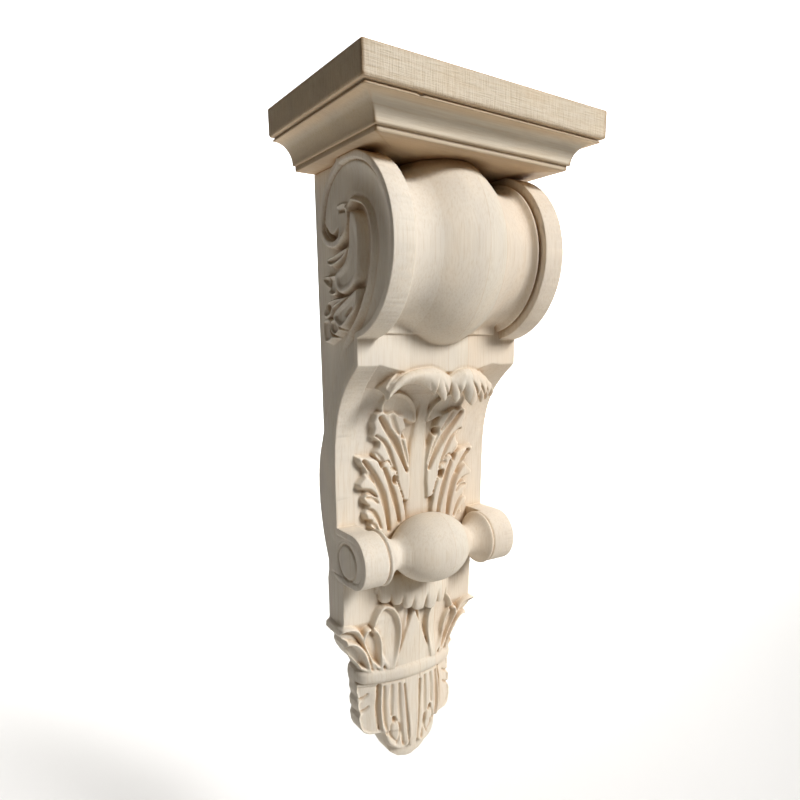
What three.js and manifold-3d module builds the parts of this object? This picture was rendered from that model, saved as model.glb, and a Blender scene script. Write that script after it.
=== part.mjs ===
// A carved wooden corbel under a moulded cap: two solids, the cap and the bracket.
// Millimetres, +Z up. The wall is the plane Y = 0, the front faces -Y, and X = 0 is the middle.
// "Reach" is the distance out from the wall, and "drop" is the distance below the cap's top.

import * as THREE from 'three';
import Module from 'manifold-3d';

const wasm = await Module();
wasm.setup();

// Where the wall mount sits, and the clearance between the two pieces
const MOUNT_DROP = 170;
const GLUE_GAP = 0.3;

// How many facets each round form is made with
const COVE_FACETS = 8;
const PANEL_FACETS = 10;
const BELLY_FACETS = 22;
const ROLL_FACETS = 18;
const FINGER_FACETS = 3;
const TROUGH_FACETS = 19;
const TAIL_FACETS = 10;

// The cap: a moulded block with returns at both ends
const CAP_WIDTH = 200;
const CAP_REACH = 141.4;
const FASCIA_HEIGHT = 19.2;
const FASCIA_ARRIS = 1;
const QUIRK_INSET = 1.4;
const FILLET_INSET = 2.7;
const FILLET_HEIGHT = 2.4;
const COVE_INSET = 13.2;
const COVE_HEIGHT = 14.4;
const FOOT_INSET = 2;
const FOOT_HEIGHT = 3.6;

// The bracket's widths, each from side to side
const BAND_WIDTH = 148.4;
const GROUND_WIDTH = 132;
const STRIP_WIDTH = 17.6;

// The upper scroll: the front turn, the tighter back turn and the curl that ends it
const SCROLL_REACH = 67.5;
const SCROLL_DROP = 100.5;
const SCROLL_RADIUS = 62;
const BACK_TURN_RADIUS = 45.5;
const CURL_REACH = 46;
const CURL_DROP = 82;
const CURL_HEIGHT = 16.5;
const STRIP_STEP = 6;

// The belly between the strips, with a hollow neck and a bead at each end
const BELLY_REACH = 54.5;
const BELLY_DROP = 97;
const BELLY_RADIUS = 73;
const NECK_RADIUS = 50.5;
const NECK_FROM_BEAD = 6;
const BEAD_RADIUS = 55.8;
const BEAD_FROM_STRIP = 2.6;

// The ledge under the scroll and the hollow panel below it
const LEDGE_REACH = 77.5;
const LEDGE_DROP = 164;
const LEDGE_HEIGHT = 17;
const WAIST_REACH = 35.5;
const PANEL_FALL = 25;
const PANEL_EASE = 1.15;

// The lower roll: a short cylinder at each side and a ball on thin necks between them
const ROLL_REACH = 60.5;
const ROLL_DROP = 333;
const ROLL_RADIUS = 22.5;
const ROLL_LENGTH = 22;
const ROLL_BEAD = 2.2;
const ROLL_EYE_RADIUS = 13;
const ROLL_EYE_REACH = 54;
const GROOVE_WIDTH = 2;
const GROOVE_DEPTH = 1.6;
const BALL_RADIUS = 29.5;
const BALL_LENGTH = 72;
const BALL_NECK_RADIUS = 12;
const BALL_TURN = Math.acos(BALL_NECK_RADIUS / BALL_RADIUS);
const HEEL_REACH = 12;

// The tail, its band and its tip
const TAIL_WIDTH = 134;
const TAIL_REACH = 30.5;
const TAIL_STRAIGHT = 402;
const TAIL_CROWN = 2.2;
const TIE_DROP = 458;
const TIE_WIDTH = 96;
const TIE_HEIGHT = 17;
const TIE_STAND = 4.5;
const LEAF_WIDTH = 95;
const SHOULDER_DROP = 516;
const TIP_WIDTH = 54;
const BOTTOM_DROP = 553;

// The two curled leaf tips, over the panel and under the ball
const HOOD_WIDTH = 94;
const SMALL_TIP_WIDTH = 68;

// Relief of the carving above its ground
const LEAF_RISE = 6.5;
const LEAF_SINK = 2.5;
const TROUGH_DEPTH = 3.2;
const RIM_WIDTH = 5.6;
const CREASE_DEPTH = 3.5;
const CREASE_PLACE = 0.12;

const BAND_HALF = BAND_WIDTH / 2;
const STRIP_INNER = BAND_HALF - STRIP_WIDTH;
const GROUND_HALF = GROUND_WIDTH / 2;
const CAP_HEIGHT = FASCIA_HEIGHT + FILLET_HEIGHT + COVE_HEIGHT + FOOT_HEIGHT;
const TOP_DROP = CAP_HEIGHT + GLUE_GAP;
const LEDGE_FOOT = LEDGE_DROP + LEDGE_HEIGHT;
const PAST_ALL = 50;
const SIDES = [-1, 1];

// A point from its place across, its reach and its drop
function at(x, reach, drop) {
  return new THREE.Vector3(x, -reach, MOUNT_DROP - drop);
}

function mix(a, b, share) {
  return a + (b - a) * share;
}

// Point i of n, as a share from 0 to 1
function shares(count) {
  return Array.from({ length: count + 1 }, (_, i) => i / count);
}

// A closed solid from vertices and triangles, turned the right way out
function solid(points, triangles) {
  let volume = 0;
  for (const [a, b, c] of triangles) {
    volume += points[a].dot(new THREE.Vector3().crossVectors(points[b], points[c]));
  }
  const facing = volume > 0 ? triangles : triangles.map(([a, b, c]) => [a, c, b]);
  const mesh = new wasm.Mesh({
    numProp: 3,
    vertProperties: new Float32Array(points.flatMap((p) => [p.x, p.y, p.z])),
    triVerts: new Uint32Array(facing.flat()),
  });
  return new wasm.Manifold(mesh);
}

// A skin over rings of equal length, closed at both ends
function loft(rings) {
  const size = rings[0].length;
  const points = rings.flat();
  const triangles = [];
  for (let k = 0; k + 1 < rings.length; k++) {
    for (let i = 0; i < size; i++) {
      const j = (i + 1) % size;
      const low = k * size;
      triangles.push([low + i, low + j, low + size + j], [low + i, low + size + j, low + size + i]);
    }
  }
  const first = points.length;
  for (const ring of [rings[0], rings[rings.length - 1]]) {
    points.push(ring.reduce((sum, p) => sum.add(p), new THREE.Vector3()).divideScalar(size));
  }
  const last = (rings.length - 1) * size;
  for (let i = 0; i < size; i++) {
    const j = (i + 1) % size;
    triangles.push([first, j, i], [first + 1, last + i, last + j]);
  }
  return solid(points, triangles);
}

// A slab between two planes across, from an outline of [reach, drop] pairs
function slab(outline, fromX, toX) {
  const shape = new THREE.Shape(outline.map(([reach, drop]) => new THREE.Vector2(reach, drop)));
  const geometry = new THREE.ExtrudeGeometry(shape, { depth: toX - fromX, bevelEnabled: false });
  const place = geometry.getAttribute('position');
  const points = [];
  const known = new Map();
  const index = [];
  for (let i = 0; i < place.count; i++) {
    const key = [place.getX(i), place.getY(i), place.getZ(i)].map((v) => v.toFixed(4)).join();
    if (!known.has(key)) {
      known.set(key, points.length);
      points.push(at(fromX + place.getZ(i), place.getX(i), place.getY(i)));
    }
    index.push(known.get(key));
  }
  const triangles = shares(index.length / 3 - 1).map((_, k) => index.slice(3 * k, 3 * k + 3));
  return solid(points, triangles);
}

// A block wider than the cap, between two reaches and two drops
function box(near, far, high, low) {
  return slab([[near, high], [far, high], [far, low], [near, low]], -CAP_WIDTH, CAP_WIDTH);
}

function joined(solids) {
  return solids.reduce((sum, piece) => sum.add(piece));
}

// Points on an ellipse about [reach, drop], from one angle to another; 0 is outward, 90 is down
function arc(reach, drop, radiusOut, radiusDown, from, to, steps) {
  return shares(steps).map((share) => {
    const angle = THREE.MathUtils.degToRad(mix(from, to, share));
    return [reach + radiusOut * Math.cos(angle), drop + radiusDown * Math.sin(angle)];
  });
}

function smooth(points, steps) {
  const curve = new THREE.SplineCurve(points.map(([a, b]) => new THREE.Vector2(a, b)));
  return curve.getSpacedPoints(steps).map((p) => [p.x, p.y]);
}

// The cap

function capRing(inset, drop) {
  const half = CAP_WIDTH / 2 - inset;
  const reach = CAP_REACH - inset;
  return [at(-half, 0, drop), at(-half, reach, drop), at(half, reach, drop), at(half, 0, drop)];
}

function makeCap() {
  const filletFoot = FASCIA_HEIGHT + FILLET_HEIGHT;
  const coveFoot = filletFoot + COVE_HEIGHT;
  const coveStart = FILLET_INSET + QUIRK_INSET;
  const footInset = coveStart + COVE_INSET;
  const rings = [
    capRing(0, 0),
    capRing(0, FASCIA_HEIGHT - FASCIA_ARRIS),
    capRing(FASCIA_ARRIS, FASCIA_HEIGHT),
    capRing(FILLET_INSET + QUIRK_INSET, FASCIA_HEIGHT),
    capRing(FILLET_INSET, FASCIA_HEIGHT + QUIRK_INSET),
    capRing(FILLET_INSET, filletFoot),
  ];
  for (const share of shares(COVE_FACETS)) {
    const turn = share * Math.PI / 2;
    const drop = coveFoot - COVE_HEIGHT * Math.cos(turn);
    rings.push(capRing(coveStart + COVE_INSET * Math.sin(turn), drop));
  }
  rings.push(capRing(footInset + FOOT_INSET, coveFoot));
  rings.push(capRing(footInset + FOOT_INSET, CAP_HEIGHT));
  return loft(rings);
}

// The side bands: scroll, wave and lower roll in one outline, seen from the side

// How far the panel stands out from the wall at a drop
function panelReach(drop) {
  const below = Math.max(drop - LEDGE_FOOT, 0) / PANEL_FALL;
  return WAIST_REACH + (LEDGE_REACH - WAIST_REACH) * Math.exp(-Math.pow(below, PANEL_EASE));
}

// The wave's back edge, from the scroll down to the heel of the roll
const wave = (share) => mix(LEDGE_DROP, ROLL_DROP, share);
const BAND_BACK = [
  [LEDGE_REACH - 26, wave(0)],
  [WAIST_REACH + 3, wave(0.165)],
  [WAIST_REACH - 14.5, wave(0.35)],
  [WAIST_REACH - 28.5, wave(0.55)],
  [WAIST_REACH - 31.5, wave(0.7)],
  [WAIST_REACH - 29, wave(0.86)],
  [HEEL_REACH, wave(0.98)],
  [HEEL_REACH + 8, ROLL_DROP + ROLL_RADIUS - 8.5],
  [HEEL_REACH + 21, ROLL_DROP + ROLL_RADIUS],
  [ROLL_REACH - 10, ROLL_DROP + ROLL_RADIUS + 4],
];

// The inner ridge of the scroll, from its start over the leaves down to the wave
const RIDGE = [
  [SCROLL_REACH + 5, CURL_DROP - 9.5],
  [SCROLL_REACH + 19, CURL_DROP - 7],
  [SCROLL_REACH + 29, CURL_DROP + 2],
  [SCROLL_REACH + 33, SCROLL_DROP],
  [SCROLL_REACH + 28, SCROLL_DROP + 21],
  [SCROLL_REACH + 12, SCROLL_DROP + 43],
];

// The fold that turns under the curl and up its front
const FOLD = [
  [CURL_REACH + 10, CURL_DROP + CURL_HEIGHT - 1],
  [CURL_REACH + 19, CURL_DROP + 10],
  [CURL_REACH + 23, CURL_DROP],
  [CURL_REACH + 22, CURL_DROP - 7.5],
];

// The panel's face from the ledge down to the roll's axis, with shorter steps where it turns
function panelLine() {
  return shares(PANEL_FACETS).map((share) => {
    const drop = mix(LEDGE_FOOT, ROLL_DROP, share ** 1.5);
    return [panelReach(drop), drop];
  });
}

function scrollOutline() {
  const underLedge = Math.acos((LEDGE_REACH - SCROLL_REACH) / SCROLL_RADIUS) * 180 / Math.PI;
  const backDrop = SCROLL_DROP - SCROLL_RADIUS + BACK_TURN_RADIUS;
  const curlReach = SCROLL_REACH - BACK_TURN_RADIUS;
  const curlOut = CURL_REACH - curlReach;
  return [
    ...arc(SCROLL_REACH, SCROLL_DROP, SCROLL_RADIUS, SCROLL_RADIUS, underLedge, -88, 22),
    ...arc(SCROLL_REACH, backDrop, BACK_TURN_RADIUS, BACK_TURN_RADIUS, -90, -180, 8),
    ...arc(CURL_REACH, CURL_DROP, curlOut, CURL_HEIGHT, 175, 92, 6),
    ...smooth(FOLD, 6),
    ...smooth([...RIDGE, BAND_BACK[0]], 12),
  ];
}

function bandOutline() {
  const rollTop = ROLL_DROP - ROLL_RADIUS;
  return [
    ...scrollOutline(),
    ...smooth(BAND_BACK, 16).slice(1),
    ...arc(ROLL_REACH, ROLL_DROP, ROLL_RADIUS, ROLL_RADIUS, 95, -90, 12),
    [panelReach(rollTop), rollTop],
    ...panelLine().filter(([, drop]) => drop < rollTop - 2).reverse(),
    [LEDGE_REACH, LEDGE_DROP],
  ];
}

// The belly: rings about an axis across, each with its own middle and radius
function makeBelly() {
  const bead = STRIP_INNER - BEAD_FROM_STRIP;
  const neck = bead - NECK_FROM_BEAD;
  const floor = SCROLL_RADIUS - STRIP_STEP - 1;
  const profile = shares(7).map((share) => {
    const swell = (1 + Math.cos(Math.PI * share)) / 2;
    const round = Math.pow(swell, mix(0.8, 1, share));
    return [neck * share, mix(NECK_RADIUS, BELLY_RADIUS, round), round];
  });
  profile.push([bead - 2, mix(NECK_RADIUS, BEAD_RADIUS, 0.5), 0]);
  profile.push([bead, BEAD_RADIUS, 0], [bead + 1.4, BEAD_RADIUS - 0.6, 0]);
  profile.push([bead + 1.8, floor, 0], [STRIP_INNER + 1, floor, 0]);
  const ends = [...profile.slice(1).reverse().map(([x, r, s]) => [-x, r, s]), ...profile];
  return loft(ends.map(([x, radius, swell]) => {
    const reach = mix(SCROLL_REACH, BELLY_REACH, swell);
    const drop = mix(SCROLL_DROP, BELLY_DROP, swell);
    const ring = arc(reach, drop, radius, radius, 0, 360, BELLY_FACETS).slice(1);
    return ring.map(([out, down]) => at(x, out, down));
  }));
}

// The lower roll with its ball, turned about one axis from a profile of [across, radius]: the
// ball, its neck, the hollow up to the roll's end, a thin bead, a groove and the plain end
function makeRoll() {
  const inner = BAND_HALF - ROLL_LENGTH;
  const ballEnd = BALL_LENGTH / 2 * Math.sin(BALL_TURN);
  const half = shares(4).map((share) => {
    const angle = share * BALL_TURN;
    return [BALL_LENGTH / 2 * Math.sin(angle), BALL_RADIUS * Math.cos(angle)];
  });
  half.push([mix(ballEnd, inner, 0.16), BALL_NECK_RADIUS]);
  half.push([mix(ballEnd, inner, 0.42), BALL_NECK_RADIUS + 1]);
  half.push([mix(ballEnd, inner, 0.69), ROLL_RADIUS - 6], [mix(ballEnd, inner, 0.84), ROLL_RADIUS - 1]);
  half.push([inner - 2.2, ROLL_RADIUS + 0.6], [inner - 1, ROLL_RADIUS - ROLL_BEAD]);
  half.push([inner, ROLL_RADIUS - ROLL_BEAD], [inner, ROLL_RADIUS]);
  half.push([BAND_HALF, ROLL_RADIUS]);
  const ends = [...half.slice(1).reverse().map(([x, r]) => [-x, r]), ...half];
  return loft(ends.map(([x, radius]) => {
    const ring = arc(ROLL_REACH, ROLL_DROP, radius, radius, 0, 360, ROLL_FACETS).slice(1);
    return ring.map(([out, down]) => at(x, out, down));
  }));
}

// The tail: stations of [drop, half width, reach in the middle, reach at the edge]. It is straight
// under the roll, narrows to the tie, widens to the leaves and ends in the pointed tip.
function tailStations() {
  const straight = TAIL_WIDTH / 2;
  const tie = TIE_WIDTH / 2;
  const leaf = LEAF_WIDTH / 2;
  const tip = TIP_WIDTH / 2;
  const tipHeight = BOTTOM_DROP - SHOULDER_DROP;
  return [
    [ROLL_DROP, straight, TAIL_REACH, TAIL_REACH],
    [TAIL_STRAIGHT, straight, TAIL_REACH - 1.5, TAIL_REACH - 3],
    [mix(TAIL_STRAIGHT, TIE_DROP, 0.12), straight - 5, TAIL_REACH - 2, TAIL_REACH - 7],
    [mix(TAIL_STRAIGHT, TIE_DROP, 0.42), mix(straight, tie, 0.7), TAIL_REACH - 2.5, TAIL_REACH - 12],
    [TIE_DROP - TIE_HEIGHT / 2, tie, TAIL_REACH - 4, TAIL_REACH - 16],
    [TIE_DROP + TIE_HEIGHT / 2, tie - 1, TAIL_REACH - 5, TAIL_REACH - 17],
    [mix(TIE_DROP, SHOULDER_DROP, 0.6), leaf, TAIL_REACH - 3, TAIL_REACH - 14],
    [SHOULDER_DROP - 1, leaf, TAIL_REACH - 3, TAIL_REACH - 14],
    [SHOULDER_DROP + 2, tip, TAIL_REACH - 3, TAIL_REACH - 10],
    [SHOULDER_DROP + tipHeight * 0.45, tip * 0.85, TAIL_REACH - 4, TAIL_REACH - 8],
    [SHOULDER_DROP + tipHeight * 0.8, tip * 0.52, TAIL_REACH - 6, TAIL_REACH - 8],
    [BOTTOM_DROP, tip * 0.12, TAIL_REACH - 8, TAIL_REACH - 8.5],
  ];
}

// The tail's front at a place across and a drop
function tailReach(x, drop) {
  const stations = tailStations();
  const next = Math.max(1, stations.findIndex(([d]) => d >= drop));
  const [from, to] = [stations[next - 1], stations[next]];
  const share = THREE.MathUtils.clamp((drop - from[0]) / (to[0] - from[0]), 0, 1);
  const [, half, middle, edge] = from.map((value, i) => mix(value, to[i], share));
  return mix(middle, edge, Math.min(Math.abs(x) / half, 1) ** TAIL_CROWN);
}

function tailRing(half, middle, edge, drop, stand) {
  const ring = [at(-half - stand, 0, drop)];
  for (const share of shares(TAIL_FACETS)) {
    const across = mix(-1, 1, share);
    const reach = mix(middle, edge, Math.abs(across) ** TAIL_CROWN) + stand;
    ring.push(at(across * (half + stand), reach, drop));
  }
  ring.push(at(half + stand, 0, drop));
  return ring;
}

function makeTail() {
  return loft(tailStations().map(([drop, half, middle, edge]) => tailRing(half, middle, edge, drop, 0)));
}

// The tie: a half-round band around the leaves
function makeTie() {
  return loft(shares(6).map((share) => {
    const turn = mix(-1, 1, share);
    const stand = TIE_STAND * Math.sqrt(1 - turn ** 2) - 0.6;
    const drop = TIE_DROP + turn * TIE_HEIGHT / 2;
    return tailRing(TIE_WIDTH / 2, TAIL_REACH - 4.5, TAIL_REACH - 16.5, drop, stand);
  }));
}

// Carving: a leaf finger laid on a ground, which place(u, drop, height) turns into a point.
// The spine runs from root to tip, and the section has a raised edge on both sides of a hollow.
const ACROSS = [-1, -0.7, 0, 0.7, 1];
const SECTION = [0, 1, 0.5, 1, 0];

function finger(place, spine, width, rise = LEAF_RISE) {
  const curve = new THREE.SplineCurve(spine.map(([u, drop]) => new THREE.Vector2(u, drop)));
  const rings = shares(FINGER_FACETS).map((share) => {
    const middle = curve.getPointAt(share);
    const along = curve.getTangentAt(share);
    const swell = 0.16 + 0.84 * Math.sin(Math.PI * mix(0.12, 0.96, share ** 0.8));
    const height = rise * mix(0.55, 1, Math.min(share * 1.6, 1)) * (share > 0.95 ? 0.7 : 1);
    const edge = (s, h) => {
      const u = middle.x - along.y * s * swell * width / 2;
      const drop = middle.y + along.x * s * swell * width / 2;
      return place(u, drop, h);
    };
    const top = ACROSS.map((s, i) => edge(s, height * SECTION[i]));
    return [...top, edge(0, -LEAF_SINK)];
  });
  return loft(rings);
}

const onPanel = (side) => (u, drop, height) => at(side * u, panelReach(drop) + height, drop);
const onTail = (side) => (u, drop, height) => at(side * u, tailReach(u, drop) + height, drop);
const onGround = (side) => (u, drop, height) => at(side * (GROUND_HALF + height), u, drop);

// The panel's leaf: fingers of [root across, root rise, tip across, tip rise, width], where
// across is from the middle and rise is above the roll's axis
const PANEL_FINGERS = [
  [11, 34, 23, 110, 12], [13, 30, 35, 116, 13], [15, 28, 45, 111, 13], [19, 22, 29, 73, 11],
  [21, 18, 42, 77, 13], [24, 15, 56, 78, 14], [27, 14, 55, 54, 12], [30, 12, 51, 34, 11],
];

function panelFingers(side) {
  return PANEL_FINGERS.map(([rootX, rootRise, tipX, tipRise, width]) => {
    const root = [rootX, ROLL_DROP - rootRise];
    const tip = [tipX, ROLL_DROP - tipRise];
    const bend = [mix(rootX, tipX, 0.42), mix(root[1], tip[1], 0.62)];
    return finger(onPanel(side), [root, bend, tip], width);
  });
}

// The leaf's flat middle rib, narrow under the hood and broad at the ball
function midrib(reachAt, top, foot, topWidth, footWidth, stand) {
  return loft(shares(8).map((share) => {
    const drop = mix(top, foot, share);
    const half = mix(topWidth, footWidth, share) / 2;
    const reach = reachAt(0, drop);
    return [
      at(-half, reach - LEAF_SINK, drop), at(-half, reach + stand - 1, drop),
      at(-half + 1, reach + stand, drop), at(half - 1, reach + stand, drop),
      at(half, reach + stand - 1, drop), at(half, reach - LEAF_SINK, drop),
    ];
  }));
}

// A leaf tip that curls out and down over a hollow. Its hem lists left to right how far down each
// point of the edge hangs, and hangs lower on the right, as carved.
function curledTip({ half, top, hem, back, front, lobes, lobeDepth, thick }) {
  const edge = new THREE.SplineCurve(hem.map((hang, i) => new THREE.Vector2(i, hang)));
  return loft(shares(lobes * 3).map((share) => {
    const across = mix(-1, 1, share);
    const round = Math.sqrt(1 - 0.97 * Math.abs(across) ** 3);
    const lobe = Math.abs(Math.cos(Math.PI * lobes * share)) ** 0.7;
    const crease = CREASE_DEPTH * Math.exp(-(((across - CREASE_PLACE) / 0.13) ** 2));
    const out = mix(back, front, round) - crease;
    const low = top + edge.getPoint(share).y - lobeDepth * lobe;
    const x = half * across;
    return [
      at(x, back - thick, top), at(x, mix(back, out, 0.85), mix(top, low, 0.06)),
      at(x, out, mix(top, low, 0.3)), at(x, out + 0.8, mix(top, low, 0.7)), at(x, out - 0.8, low),
      at(x, out - thick * 0.6, low), at(x, mix(back, out, 0.5) - thick, mix(top, low, 0.62)),
      at(x, back - thick * 2, mix(top, low, 0.55)),
    ];
  }));
}

// Side leaves under the scroll: [root reach, root drop, tip reach, tip drop, width] from the
// scroll's own middle
const SIDE_FINGERS = [
  [8, -18, -16, 28, 20], [-5, -4, -41, 10, 10], [-8, 7, -46, 20, 10], [8, 26, -43, 36, 11],
  [6, 33, -29, 50, 13], [-6, 45, -48, 61, 11],
];

function sideFingers(side) {
  return SIDE_FINGERS.map(([rootOut, rootDown, tipOut, tipDown, width]) => {
    const root = [SCROLL_REACH + rootOut, SCROLL_DROP + rootDown];
    const tip = [SCROLL_REACH + tipOut, SCROLL_DROP + tipDown];
    const bend = [mix(root[0], tip[0], 0.5), mix(root[1], tip[1], 0.62)];
    return finger(onGround(side), [root, bend, tip], width, LEAF_RISE);
  });
}

// Tail leaves over the tie: [root across, tip across, tip rise above the tie, width]
const TAIL_FINGERS = [[21, 30, 67, 15], [32, 43, 49, 13], [39, 64, 53, 11], [42, 60, 34, 11]];

function tailFingers(side) {
  return TAIL_FINGERS.map(([rootX, tipX, rise, width]) => {
    const root = [rootX, TIE_DROP - TIE_HEIGHT / 2 + 2];
    const tip = [tipX, TIE_DROP - rise];
    const bend = [mix(rootX, tipX, 0.35), mix(root[1], tip[1], 0.6)];
    return finger(onTail(side), [root, bend, tip], width, LEAF_RISE * 0.8);
  });
}

// Leaves under the tie: [root across, tip across, tip drop above the bottom, width]
const TIP_FINGERS = [[41, 43, 38, 12], [30, 33, 40, 9], [17, 17, 19, 15]];

function tipFingers(side) {
  return TIP_FINGERS.map(([rootX, tipX, above, width]) => {
    const root = [rootX, TIE_DROP + TIE_HEIGHT / 2 - 4];
    const tip = [tipX, BOTTOM_DROP - above];
    return finger(onTail(side), [root, [mix(rootX, tipX, 0.5), mix(root[1], tip[1], 0.5)], tip], width, 4.5);
  });
}

// The smooth trough between the scroll's rim and its ridge, as a lens to cut away along a path of
// [reach, drop, half width]
function trough(side) {
  const deep = SCROLL_RADIUS - RIM_WIDTH;
  const path = [
    [mix(WAIST_REACH, LEDGE_REACH, 0.33), LEDGE_FOOT + 12, 5],
    [mix(WAIST_REACH, LEDGE_REACH, 0.72), LEDGE_DROP, 8],
    [SCROLL_REACH + deep * 0.5, SCROLL_DROP + deep * 0.76, 9],
    [SCROLL_REACH + deep * 0.78, SCROLL_DROP, 11],
    [SCROLL_REACH + deep * 0.55, SCROLL_DROP - deep * 0.56, 12],
    [SCROLL_REACH, SCROLL_DROP - deep * 0.76, 12.5],
    [CURL_REACH - 3, CURL_DROP - 17, 12],
    [CURL_REACH - 8, CURL_DROP - 2, 9],
    [CURL_REACH + 2, CURL_DROP + 6, 5],
  ];
  const line = new THREE.CatmullRomCurve3(path.map(([u, v, w]) => new THREE.Vector3(u, v, w)));
  const lens = shares(4).map((s) => mix(-1, 1, s));
  return loft(shares(TROUGH_FACETS).map((share) => {
    const { x: u, y: v, z: half } = line.getPointAt(share);
    const along = line.getTangentAt(share);
    const length = Math.hypot(along.x, along.y);
    const depth = TROUGH_DEPTH * Math.min(1, half / 9);
    const spot = (s, inward) => {
      const out = u - along.y / length * s * half;
      return at(side * (BAND_HALF - inward), out, v + along.x / length * s * half);
    };
    return [...lens.map((s) => spot(s, depth * (1 - s * s) - 0.01)), spot(1, -4), spot(-1, -4)];
  }));
}

// The ring cut into the roll's end around its eye
function rollGroove(side) {
  const inner = ROLL_EYE_RADIUS - GROOVE_WIDTH;
  const rings = shares(ROLL_FACETS).slice(1).map((share) => {
    const angle = share * 2 * Math.PI;
    const spot = (radius, inward) => at(
      side * (BAND_HALF - inward),
      ROLL_EYE_REACH + radius * Math.cos(angle),
      ROLL_DROP + radius * Math.sin(angle),
    );
    return [
      spot(ROLL_EYE_RADIUS, -2), spot(ROLL_EYE_RADIUS, 0.01),
      spot(ROLL_EYE_RADIUS - GROOVE_WIDTH / 2, GROOVE_DEPTH), spot(inner, 0.01), spot(inner, -2),
    ];
  });
  const size = rings[0].length;
  const triangles = [];
  rings.forEach((_, k) => {
    for (let i = 0; i < size; i++) {
      const [a, b] = [k * size, ((k + 1) % rings.length) * size];
      const j = (i + 1) % size;
      triangles.push([a + i, a + j, b + j], [a + i, b + j, b + i]);
    }
  });
  return solid(rings.flat(), triangles);
}

function makeBracket() {
  const body = slab([
    [0, TOP_DROP], [SCROLL_REACH, TOP_DROP], [SCROLL_REACH, SCROLL_DROP],
    [LEDGE_REACH, LEDGE_DROP - 12],
    ...panelLine(), [TAIL_REACH, ROLL_DROP + ROLL_RADIUS], [0, ROLL_DROP + ROLL_RADIUS],
  ], -GROUND_HALF, GROUND_HALF);
  const pieces = [body, makeBelly(), makeRoll(), makeTail(), makeTie()];
  pieces.push(midrib((x, drop) => panelReach(drop), LEDGE_FOOT + 36, ROLL_DROP - 12, 7, 24, 3.2));
  pieces.push(midrib(tailReach, TAIL_STRAIGHT - 4, TIE_DROP, 3, 38, 2.6));
  pieces.push(midrib(tailReach, TIE_DROP, BOTTOM_DROP - 8, 20, 11, 2.4));
  pieces.push(curledTip({
    half: HOOD_WIDTH / 2, top: LEDGE_FOOT - 5, hem: [25, 21, 24, 31, 34, 36, 35, 28],
    back: LEDGE_REACH - 16, front: LEDGE_REACH + 1.5, lobes: 9, lobeDepth: 3, thick: 6,
  }));
  pieces.push(curledTip({
    half: SMALL_TIP_WIDTH / 2, top: ROLL_DROP + ROLL_RADIUS + 8, hem: [20, 21, 26, 31, 33, 34, 29],
    back: TAIL_REACH + 1, front: TAIL_REACH + 11, lobes: 6, lobeDepth: 3, thick: 4.5,
  }));
  const cuts = [];
  for (const side of SIDES) {
    const [low, high] = side < 0 ? [-BAND_HALF, -STRIP_INNER] : [STRIP_INNER, BAND_HALF];
    pieces.push(slab(bandOutline(), low, high));
    pieces.push(...panelFingers(side), ...sideFingers(side), ...tailFingers(side), ...tipFingers(side));
    cuts.push(trough(side), rollGroove(side));
  }
  // All that would rise into the cap or run back into the wall is cut away
  cuts.push(box(-PAST_ALL, CAP_REACH + PAST_ALL, 0, TOP_DROP));
  cuts.push(box(-PAST_ALL, 0, -PAST_ALL, BOTTOM_DROP + PAST_ALL));
  return joined(pieces).subtract(joined(cuts));
}

function toMesh(shape, name, material) {
  const { vertProperties, triVerts, numProp } = shape.getMesh();
  const geometry = new THREE.BufferGeometry();
  const places = new Float32Array(vertProperties.length / numProp * 3);
  places.forEach((_, i) => { places[i] = vertProperties[Math.floor(i / 3) * numProp + i % 3]; });
  geometry.setAttribute('position', new THREE.BufferAttribute(places, 3));
  geometry.setIndex(Array.from(triVerts));
  geometry.computeVertexNormals();
  const mesh = new THREE.Mesh(geometry, material);
  mesh.name = name;
  return mesh;
}

const sawnWood = new THREE.MeshStandardMaterial({ color: 0xddd0bb, roughness: 0.85, metalness: 0 });
const carvedWood = new THREE.MeshStandardMaterial({ color: 0xe6d8c3, roughness: 0.7, metalness: 0 });

const corbel = new THREE.Group();
corbel.add(toMesh(makeCap(), 'cap', sawnWood));
corbel.add(toMesh(makeBracket(), 'bracket', carvedWood));

export default corbel;
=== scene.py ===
# A carved wooden corbel: a moulded cap glued on a bracket carved with scrolls, a belly and leaves.
# Sizes are in millimetres. "Reach" is the distance out from the wall, and "drop" the distance
# below the cap's top.
import math

import bpy
import numpy as np
import openvdb
from mathutils import Matrix, Vector


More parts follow.
